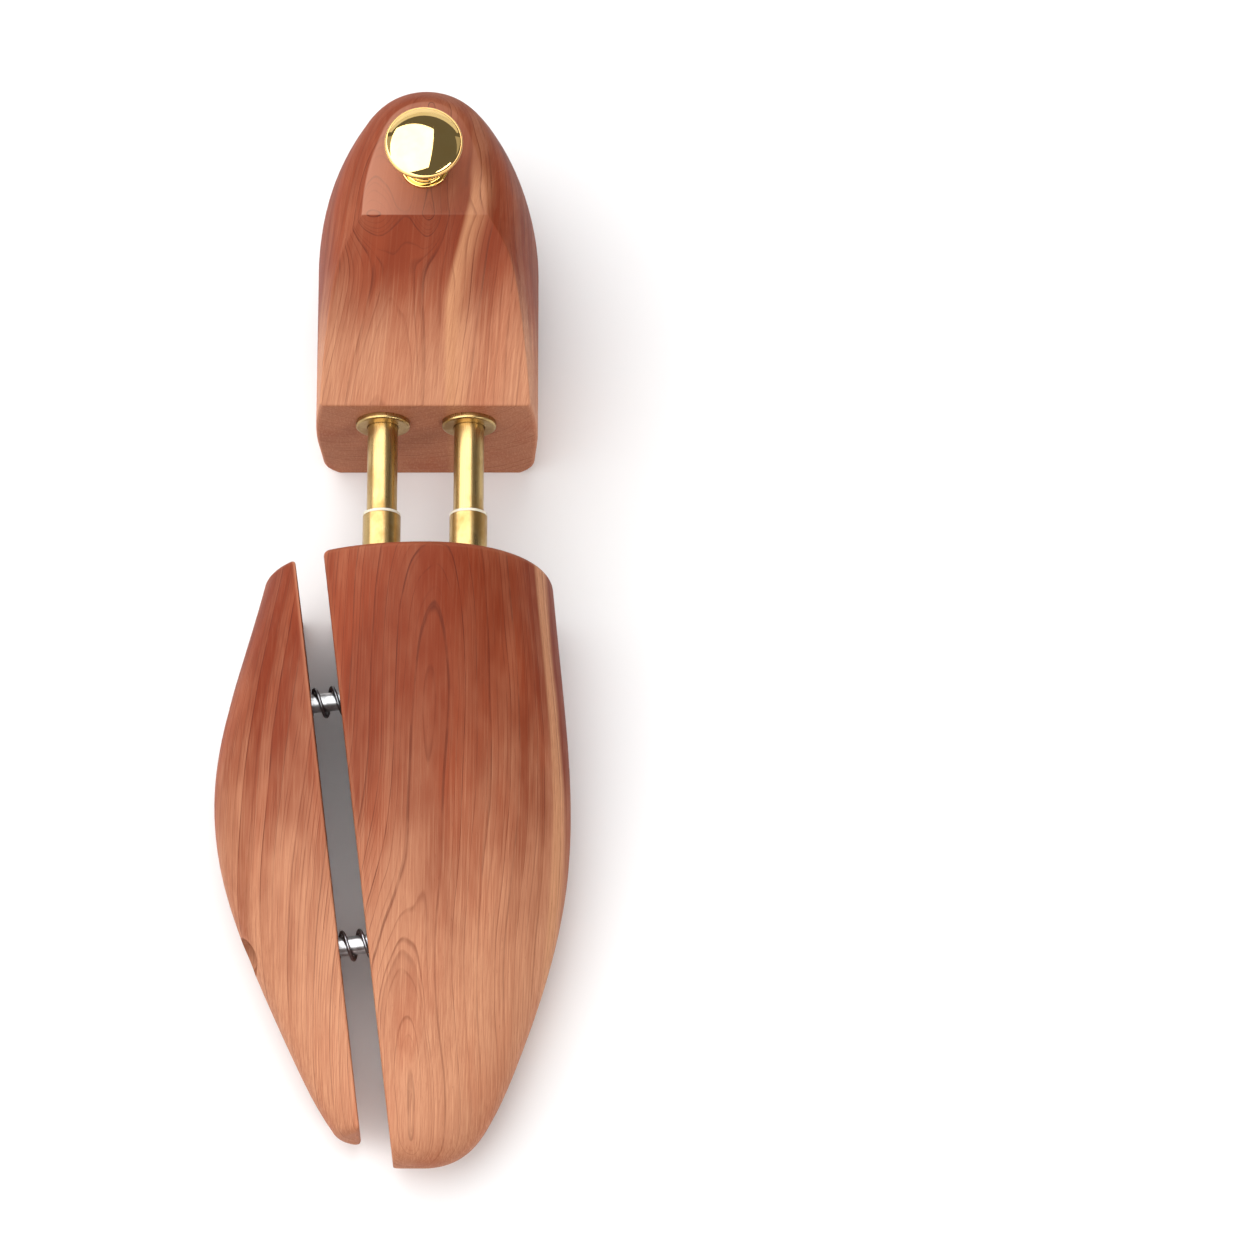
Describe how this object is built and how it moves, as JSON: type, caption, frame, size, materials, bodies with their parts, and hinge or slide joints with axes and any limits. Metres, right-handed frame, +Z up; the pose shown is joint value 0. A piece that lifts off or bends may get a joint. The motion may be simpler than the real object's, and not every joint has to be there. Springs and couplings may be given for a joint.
{
  "type": "shoe tree",
  "caption": "Sprung shoe tree for a right shoe: cedar heel block with a flat top, sloping front and brass knob, twin telescopic tubes, and a side-split cedar forepart whose wing presses in.",
  "frame": {"origin": "on the heel block's flat base, straight below the knob's axis", "axes": "+Z up, +Y along the tubes to the back of the shoe, -Y to the toe, +X to the wearer's inner (medial) side of a right shoe"},
  "size_m": [0.0933, 0.288, 0.0869],
  "materials": {
    "cedar": "fine-sanded red cedar with a satin sheen, dark fine grain and a pale sapwood streak",
    "knob_brass": "mirror-polished, lacquered",
    "tube_brass": "drawn and lightly brushed",
    "spring_steel": "bright drawn wire",
    "plain_steel": "zinc plated",
    "bush_plastic": "natural moulded nylon"
  },
  "bodies": {
    "heel": {"heel_block": "cedar", "knob_head": "knob_brass", "knob_rosette": "knob_brass", "knob_stud": "plain_steel", "heel_ferrule_medial": "tube_brass", "inner_tube_medial": "tube_brass", "tube_stop_medial": "bush_plastic", "heel_tube_brad_medial": "plain_steel", "heel_ferrule_lateral": "tube_brass", "inner_tube_lateral": "tube_brass", "tube_stop_lateral": "bush_plastic", "heel_tube_brad_lateral": "plain_steel"},
    "forepart": {"forepart_main": "cedar", "outer_tube_medial": "tube_brass", "guide_bush_medial": "bush_plastic", "forepart_ferrule_medial": "tube_brass", "tube_plug_medial": "bush_plastic", "main_spring_medial": "spring_steel", "forepart_tube_brad_medial": "plain_steel", "outer_tube_lateral": "tube_brass", "guide_bush_lateral": "bush_plastic", "forepart_ferrule_lateral": "tube_brass", "tube_plug_lateral": "bush_plastic", "main_spring_lateral": "spring_steel", "forepart_tube_brad_lateral": "plain_steel", "wing_guide_pin_rear": "plain_steel", "pin_insert_rear": "tube_brass", "wing_spring_rear": "spring_steel", "stop_screw_rear": "plain_steel", "stop_washer_rear": "plain_steel", "wing_guide_pin_front": "plain_steel", "pin_insert_front": "tube_brass", "wing_spring_front": "spring_steel", "stop_screw_front": "plain_steel", "stop_washer_front": "plain_steel"},
    "side_wing": {"forepart_wing": "cedar", "wing_bush_rear": "tube_brass", "wing_bush_front": "tube_brass"}
  },
  "joints": [
    {"name": "length_slide", "type": "slide", "parent": "heel", "child": "forepart", "axis": [0, 1, 0], "range_m": [0, 0.024], "stiffness_N_per_m": 1200, "springref_m": -0.012, "deforming": ["main_spring_medial", "main_spring_lateral"]},
    {"name": "side_slide", "type": "slide", "parent": "forepart", "child": "side_wing", "axis": [0.9927, 0.1207, 0], "range_m": [0, 0.0065], "stiffness_N_per_m": 1500, "springref_m": -0.004, "deforming": ["wing_spring_rear", "wing_spring_front"]}
  ]
}
